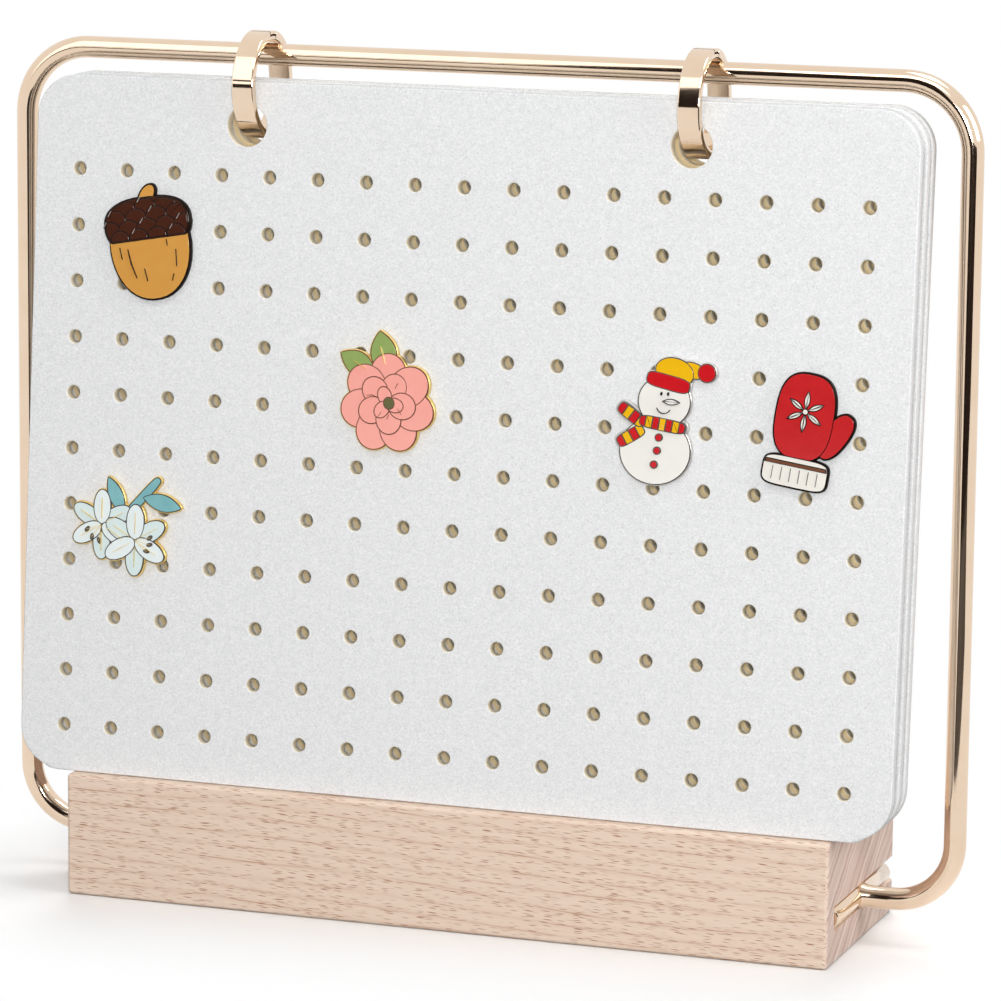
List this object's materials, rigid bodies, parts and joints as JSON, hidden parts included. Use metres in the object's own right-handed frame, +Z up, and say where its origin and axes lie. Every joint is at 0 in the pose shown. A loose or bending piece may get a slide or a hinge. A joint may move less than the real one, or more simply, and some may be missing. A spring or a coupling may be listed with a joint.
{
  "type": "pin badge board",
  "caption": "Tabletop pin badge board: perforated felt pages on hinged rings hang in a bent gold wire frame on a beech block, with enamel pin badges on the front page.",
  "frame": {"origin": "centre of the base block's underside, on the table", "axes": "+X to the right along the block and the frame's bar, +Y to the back, +Z up"},
  "size_m": [0.2368, 0.057, 0.2052],
  "materials": {
    "beech": "planed beech, matt oiled, fine brown flecks",
    "gold_wire": "polished champagne-gold plating",
    "gold_ring": "polished champagne-gold plating, flat band",
    "felt": "white pressed wool felt, matt, fuzzy",
    "badge_metal": "die-struck metal with enamel fills",
    "post_metal": "nickel plated",
    "clutch_rubber": "soft matt rubber"
  },
  "bodies": {
    "base": {"base_block": "beech"},
    "frame": {"wire_frame": "gold_wire", "left_foot_rod": "gold_wire", "right_foot_rod": "gold_wire"},
    "left_ring": {"left_ring_hook": "gold_ring", "left_ring_hinge_pin": "gold_ring"},
    "left_gate": {"left_ring_gate": "gold_ring"},
    "right_ring": {"right_ring_hook": "gold_ring", "right_ring_hinge_pin": "gold_ring"},
    "right_gate": {"right_ring_gate": "gold_ring"},
    "back_page": {"page_back": "felt"},
    "middle_page": {"page_middle": "felt"},
    "front_page": {"page_front": "felt", "acorn_badge_clutch": "clutch_rubber", "blossom_badge_clutch": "clutch_rubber", "spray_badge_clutch": "clutch_rubber", "snowman_badge_clutch": "clutch_rubber", "mitten_badge_clutch": "clutch_rubber"},
    "acorn_badge": {"acorn_badge_plate": "badge_metal", "acorn_badge_post": "post_metal"},
    "blossom_badge": {"blossom_badge_plate": "badge_metal", "blossom_badge_post": "post_metal"},
    "spray_badge": {"spray_badge_plate": "badge_metal", "spray_badge_post": "post_metal"},
    "snowman_badge": {"snowman_badge_plate": "badge_metal", "snowman_badge_post": "post_metal"},
    "mitten_badge": {"mitten_badge_plate": "badge_metal", "mitten_badge_post": "post_metal"}
  },
  "joints": [
    {"name": "frame_slide", "type": "slide", "parent": "base", "child": "frame", "axis": [0, 1, 0], "range_m": [0, 0.0515]},
    {"name": "left_ring_swing", "type": "hinge", "parent": "frame", "child": "left_ring", "pos_m": [-0.054, 0, 0.19935], "axis": [-1, 0, 0], "range_deg": [0, 170]},
    {"name": "right_ring_swing", "type": "hinge", "parent": "frame", "child": "right_ring", "pos_m": [0.054, 0, 0.19935], "axis": [-1, 0, 0], "range_deg": [0, 170]},
    {"name": "left_gate_open", "type": "hinge", "parent": "left_ring", "child": "left_gate", "pos_m": [-0.054, 0.00612, 0.18635], "axis": [-1, 0, 0], "range_deg": [0, 50]},
    {"name": "right_gate_open", "type": "hinge", "parent": "right_ring", "child": "right_gate", "pos_m": [0.054, 0.00612, 0.18635], "axis": [-1, 0, 0], "range_deg": [0, 50]},
    {"name": "back_page_turn", "type": "hinge", "parent": "left_ring", "child": "back_page", "pos_m": [0, -0.00357, 0.19264], "axis": [-1, 0, 0], "range_deg": [0, 10]},
    {"name": "middle_page_turn", "type": "hinge", "parent": "back_page", "child": "middle_page", "pos_m": [0, -0.00357, 0.19264], "axis": [-1, 0, 0], "range_deg": [0, 14]},
    {"name": "front_page_turn", "type": "hinge", "parent": "middle_page", "child": "front_page", "pos_m": [0, -0.00357, 0.19264], "axis": [-1, 0, 0], "range_deg": [0, 46]},
    {"name": "acorn_badge_pull", "type": "slide", "parent": "front_page", "child": "acorn_badge", "axis": [0, -0.9965, 0.0837], "range_m": [0, 0.012]},
    {"name": "blossom_badge_pull", "type": "slide", "parent": "front_page", "child": "blossom_badge", "axis": [0, -0.9965, 0.0837], "range_m": [0, 0.012]},
    {"name": "spray_badge_pull", "type": "slide", "parent": "front_page", "child": "spray_badge", "axis": [0, -0.9965, 0.0837], "range_m": [0, 0.012]},
    {"name": "snowman_badge_pull", "type": "slide", "parent": "front_page", "child": "snowman_badge", "axis": [0, -0.9965, 0.0837], "range_m": [0, 0.012]},
    {"name": "mitten_badge_pull", "type": "slide", "parent": "front_page", "child": "mitten_badge", "axis": [0, -0.9965, 0.0837], "range_m": [0, 0.012]}
  ],
  "couplings": [
    {"joint": "right_ring_swing", "follows": "left_ring_swing", "ratio": 1}
  ]
}
